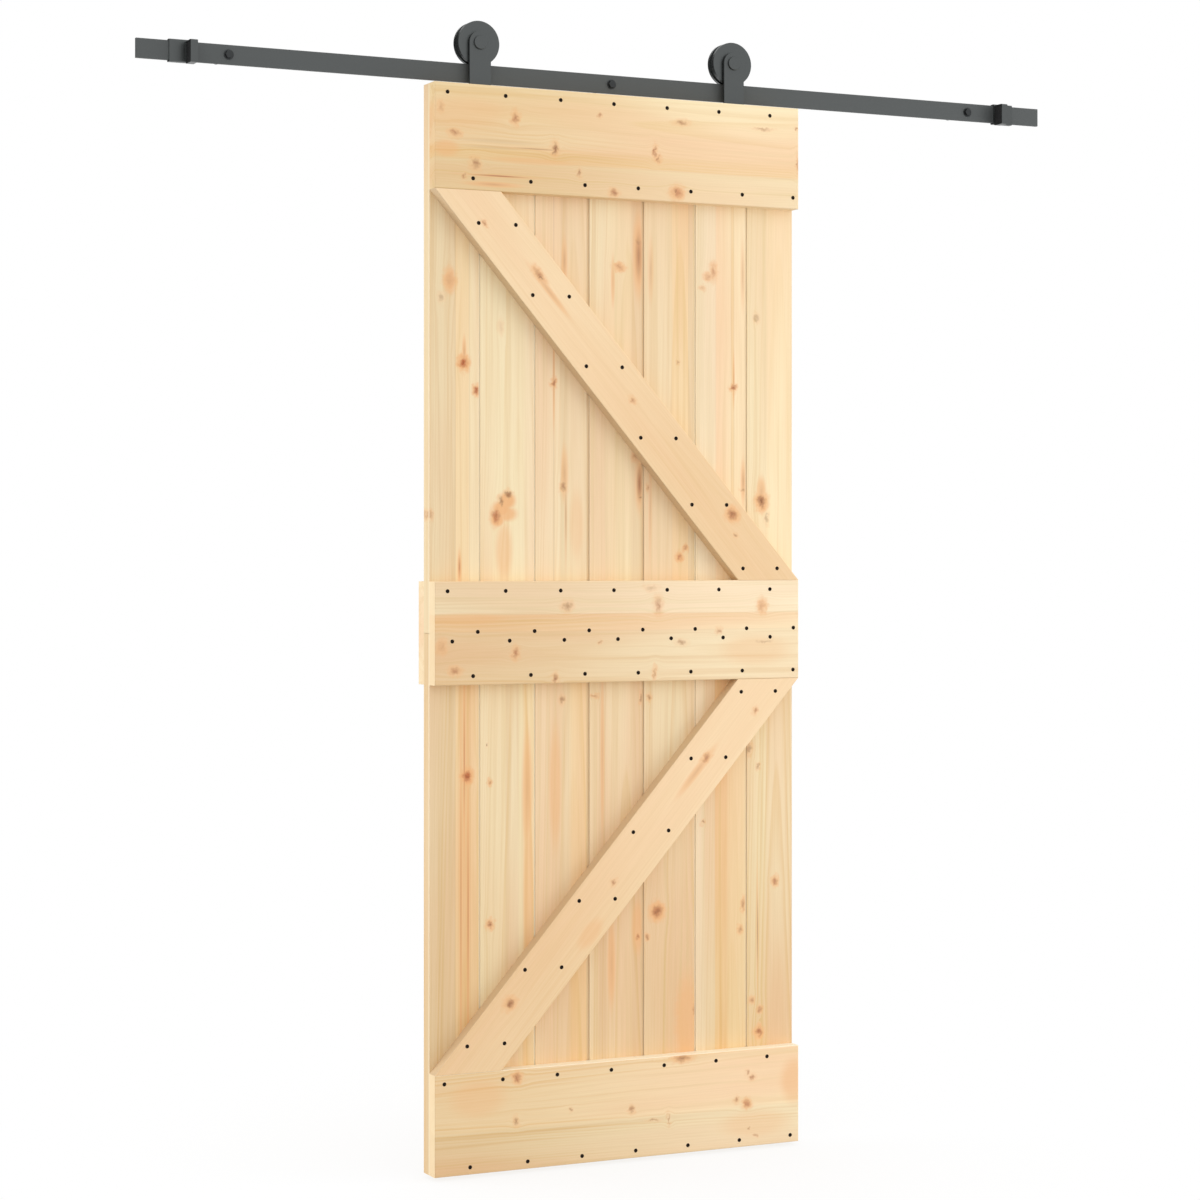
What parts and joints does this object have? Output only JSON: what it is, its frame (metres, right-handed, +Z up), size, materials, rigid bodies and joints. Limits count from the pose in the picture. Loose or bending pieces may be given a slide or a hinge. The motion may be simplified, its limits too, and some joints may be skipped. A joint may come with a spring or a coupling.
{
  "type": "wooden sliding door on a flat steel track",
  "caption": "Ledged and braced pine door leaf that hangs from a wall-mounted flat steel track by top hangers with grooved wheels",
  "frame": {"origin": "on the wall plane, in the middle of the seat of the track's middle spacer", "axes": "+X along the track to the right as seen from the room, +Y into the wall, +Z up"},
  "size_m": [2, 0.151, 2.2403],
  "materials": {
    "pine_boards": "sanded, clear matt finish",
    "pine_frame": "sanded, clear matt finish",
    "anthracite_steel": "satin powder coat",
    "anthracite_bolts": "satin powder coat",
    "anthracite_wheel": "satin powder coat",
    "black_rubber": "matt",
    "grey_plastic": "matt"
  },
  "bodies": {
    "track": {"track_bar": "anthracite_steel", "left_spacer": "anthracite_steel", "left_wall_bolt": "anthracite_bolts", "left_wall_plug": "grey_plastic", "middle_spacer": "anthracite_steel", "middle_wall_bolt": "anthracite_bolts", "middle_wall_plug": "grey_plastic", "right_spacer": "anthracite_steel", "right_wall_bolt": "anthracite_bolts", "right_wall_plug": "grey_plastic", "left_stop_clamp": "anthracite_steel", "left_stop_bumper": "black_rubber", "right_stop_clamp": "anthracite_steel", "right_stop_bumper": "black_rubber"},
    "door": {"upper_board_1": "pine_boards", "upper_board_2": "pine_boards", "upper_board_3": "pine_boards", "upper_board_4": "pine_boards", "upper_board_5": "pine_boards", "upper_board_6": "pine_boards", "upper_board_7": "pine_boards", "lower_board_1": "pine_boards", "lower_board_2": "pine_boards", "lower_board_3": "pine_boards", "lower_board_4": "pine_boards", "lower_board_5": "pine_boards", "lower_board_6": "pine_boards", "lower_board_7": "pine_boards", "top_cross_board": "pine_frame", "middle_cross_board": "pine_frame", "bottom_cross_board": "pine_frame", "back_cross_board": "pine_frame", "upper_brace": "pine_frame", "lower_brace": "pine_frame", "left_hanger": "anthracite_steel", "left_axle_bolt": "anthracite_bolts", "left_axle_washer": "anthracite_steel", "left_axle_nut": "anthracite_bolts", "right_hanger": "anthracite_steel", "right_axle_bolt": "anthracite_bolts", "right_axle_washer": "anthracite_steel", "right_axle_nut": "anthracite_bolts"},
    "left_wheel": {"left_wheel": "anthracite_wheel"},
    "right_wheel": {"right_wheel": "anthracite_wheel"}
  },
  "joints": [
    {"name": "door_slide", "type": "slide", "parent": "track", "child": "door", "axis": [1, 0, 0], "range_m": [-0.548, 0.607]},
    {"name": "left_wheel_roll", "type": "hinge", "parent": "door", "child": "left_wheel", "pos_m": [-0.292, -0.029, 0.0593], "axis": [0, 1, 0], "range_deg": [-864, 864]},
    {"name": "right_wheel_roll", "type": "hinge", "parent": "door", "child": "right_wheel", "pos_m": [0.27, -0.029, 0.0593], "axis": [0, 1, 0], "range_deg": [-864, 864]}
  ],
  "couplings": [
    {"joint": "left_wheel_roll", "follows": "door_slide", "rad_per_m": 24.691},
    {"joint": "right_wheel_roll", "follows": "door_slide", "rad_per_m": 24.691}
  ]
}
